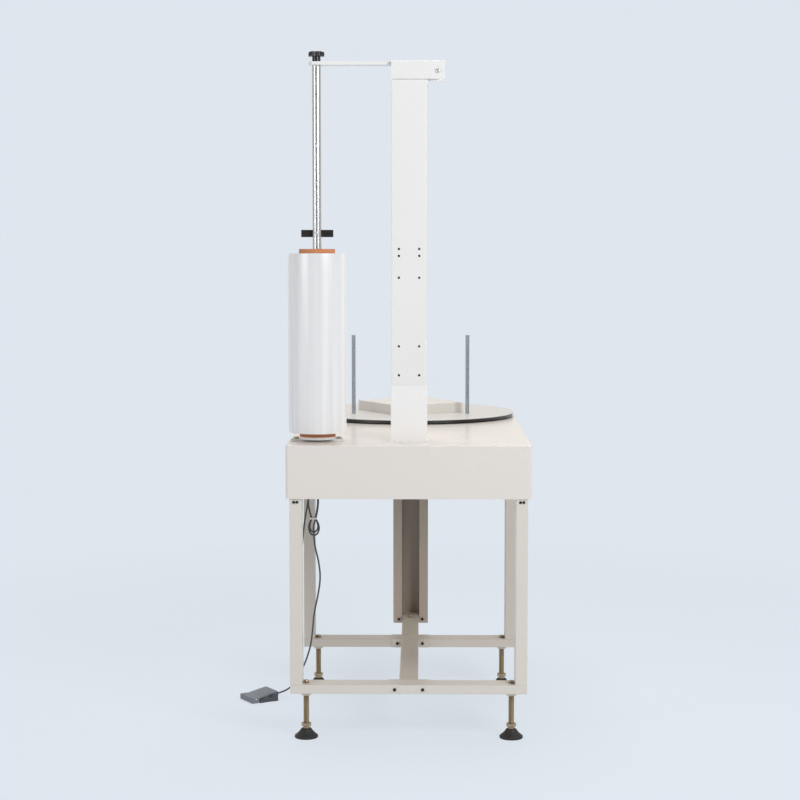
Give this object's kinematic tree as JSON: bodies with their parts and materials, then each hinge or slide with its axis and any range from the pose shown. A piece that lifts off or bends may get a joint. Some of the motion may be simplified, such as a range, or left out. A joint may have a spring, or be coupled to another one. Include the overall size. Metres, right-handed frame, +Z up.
{
  "type": "turntable pallet wrapper",
  "caption": "Waist-high turntable wrapper: powered round table on a steel frame, mast with a hinged arm, film roll on an upright rod, and a foot pedal on a cable.",
  "frame": {"origin": "on the floor, on the axis of the turntable, at the centre of the sole of the foot under it", "axes": "+Z up; +Y from the mast towards the turntable; +X to the right of somebody facing the mast from its own end"},
  "size_m": [0.8424, 1.277, 1.8855],
  "materials": {
    "table_paint": "gloss powder coat",
    "frame_paint": "satin powder coat",
    "mast_paint": "satin powder coat",
    "disc_paint": "satin powder coat",
    "zinc": "zinc plated",
    "bright_steel": "polished",
    "dark_steel": "blackened",
    "plain_steel": "ground",
    "cast_iron": "as cast",
    "black_rubber": "matte",
    "belt_rubber": "matte",
    "black_plastic": "moulded",
    "slate_plastic": "moulded",
    "grey_plastic": "moulded",
    "green_plastic": "moulded",
    "red_plastic": "moulded",
    "white_plastic": "moulded",
    "film": "clear stretch film, wound",
    "core_board": "kraft",
    "motor_paint": "gloss enamel"
  },
  "bodies": {
    "frame": {"table_housing": "table_paint", "leg_front_left": "frame_paint", "leg_front_right": "frame_paint", "leg_rear_left": "frame_paint", "leg_rear_right": "frame_paint", "rail_front": "frame_paint", "rail_rear": "frame_paint", "spine_front": "frame_paint", "spine_rear": "frame_paint", "spine_cleats": "frame_paint", "far_post": "frame_paint", "cross_beams": "frame_paint", "frame_bolts": "dark_steel", "mast_tube": "mast_paint", "mast_sleeve": "mast_paint", "mast_clevis": "mast_paint", "arm_pivot_bolt": "bright_steel", "film_rod": "bright_steel", "roll_base_plate": "plain_steel", "stop_bar": "dark_steel", "stop_screw": "bright_steel", "bearing_housing": "cast_iron", "drive_belt": "belt_rubber", "gearmotor": "motor_paint", "control_box": "grey_plastic", "pedal_base": "slate_plastic", "cable_bracket": "frame_paint", "cable_gland": "black_plastic", "cable_feed": "black_rubber", "cable_hank": "black_rubber", "cable_tie": "white_plastic", "cable_tail": "black_rubber"},
    "turntable": {"turntable_disc": "disc_paint", "turntable_hub": "plain_steel", "load_platform": "disc_paint", "locating_pins": "bright_steel", "driven_pulley": "cast_iron"},
    "drive_pulley": {"drive_pulley": "plain_steel"},
    "film_roll": {"roll_flange": "plain_steel", "core_bush": "black_plastic", "film_core": "core_board", "film_wrap": "film"},
    "arm": {"arm_cap": "mast_paint", "arm_bar": "mast_paint"},
    "lock_knob": {"lock_knob": "black_plastic"},
    "power_rocker": {"power_rocker": "black_plastic"},
    "start_button": {"start_button": "green_plastic"},
    "stop_button": {"stop_button": "red_plastic"},
    "speed_knob": {"speed_knob": "black_plastic"},
    "pedal_treadle": {"pedal_treadle": "slate_plastic"},
    "foot_1": {"foot_1_stud": "zinc", "foot_1_pad": "black_rubber"},
    "foot_2": {"foot_2_stud": "zinc", "foot_2_pad": "black_rubber"},
    "foot_3": {"foot_3_stud": "zinc", "foot_3_pad": "black_rubber"},
    "foot_4": {"foot_4_stud": "zinc", "foot_4_pad": "black_rubber"},
    "foot_5": {"foot_5_stud": "zinc", "foot_5_pad": "black_rubber"}
  },
  "joints": [
    {"name": "turntable_spin", "type": "hinge", "parent": "frame", "child": "turntable", "pos_m": [0, 0, 0.76], "axis": [0, 0, 1], "continuous": true},
    {"name": "drive_spin", "type": "hinge", "parent": "frame", "child": "drive_pulley", "pos_m": [0, -0.23, 0.76], "axis": [0, 0, 1], "continuous": true},
    {"name": "film_roll_spin", "type": "hinge", "parent": "frame", "child": "film_roll", "pos_m": [-0.255, -0.8, 1], "axis": [0, 0, 1], "continuous": true},
    {"name": "arm_lift", "type": "hinge", "parent": "frame", "child": "arm", "pos_m": [0.079, -0.8, 1.8305], "axis": [0, 1, 0], "range_deg": [0, 95]},
    {"name": "lock_knob_turn", "type": "hinge", "parent": "arm", "child": "lock_knob", "pos_m": [-0.255, -0.8, 1.875], "axis": [0, 0, 1], "continuous": true},
    {"name": "power_rocker_tip", "type": "hinge", "parent": "frame", "child": "power_rocker", "pos_m": [-0.124, 0.183, 0.741], "axis": [-1, 0, 0], "range_deg": [0, 16]},
    {"name": "start_button_press", "type": "slide", "parent": "frame", "child": "start_button", "axis": [0, -1, 0], "range_m": [0, 0.004], "stiffness_N_per_m": 300, "springref_m": -0.004},
    {"name": "stop_button_press", "type": "slide", "parent": "frame", "child": "stop_button", "axis": [0, -1, 0], "range_m": [0, 0.004], "stiffness_N_per_m": 400, "springref_m": -0.004},
    {"name": "speed_knob_turn", "type": "hinge", "parent": "frame", "child": "speed_knob", "pos_m": [-0.2, 0.185, 0.741], "axis": [0, 1, 0], "range_deg": [0, 270]},
    {"name": "pedal_press", "type": "hinge", "parent": "frame", "child": "pedal_treadle", "pos_m": [-0.47616, -0.50734, 0.014], "axis": [-0.5446, 0.8387, 0], "range_deg": [0, 4.5], "stiffness_Nm_per_rad": 3, "springref_deg": -6.88},
    {"name": "foot_1_level", "type": "slide", "parent": "frame", "child": "foot_1", "axis": [0, 0, 1], "range_m": [-0.025, 0.05]},
    {"name": "foot_2_level", "type": "slide", "parent": "frame", "child": "foot_2", "axis": [0, 0, 1], "range_m": [-0.025, 0.05]},
    {"name": "foot_3_level", "type": "slide", "parent": "frame", "child": "foot_3", "axis": [0, 0, 1], "range_m": [-0.025, 0.05]},
    {"name": "foot_4_level", "type": "slide", "parent": "frame", "child": "foot_4", "axis": [0, 0, 1], "range_m": [-0.025, 0.05]},
    {"name": "foot_5_level", "type": "slide", "parent": "frame", "child": "foot_5", "axis": [0, 0, 1], "range_m": [-0.025, 0.05]}
  ],
  "couplings": [
    {"joint": "drive_spin", "follows": "turntable_spin", "ratio": 2.9231}
  ]
}
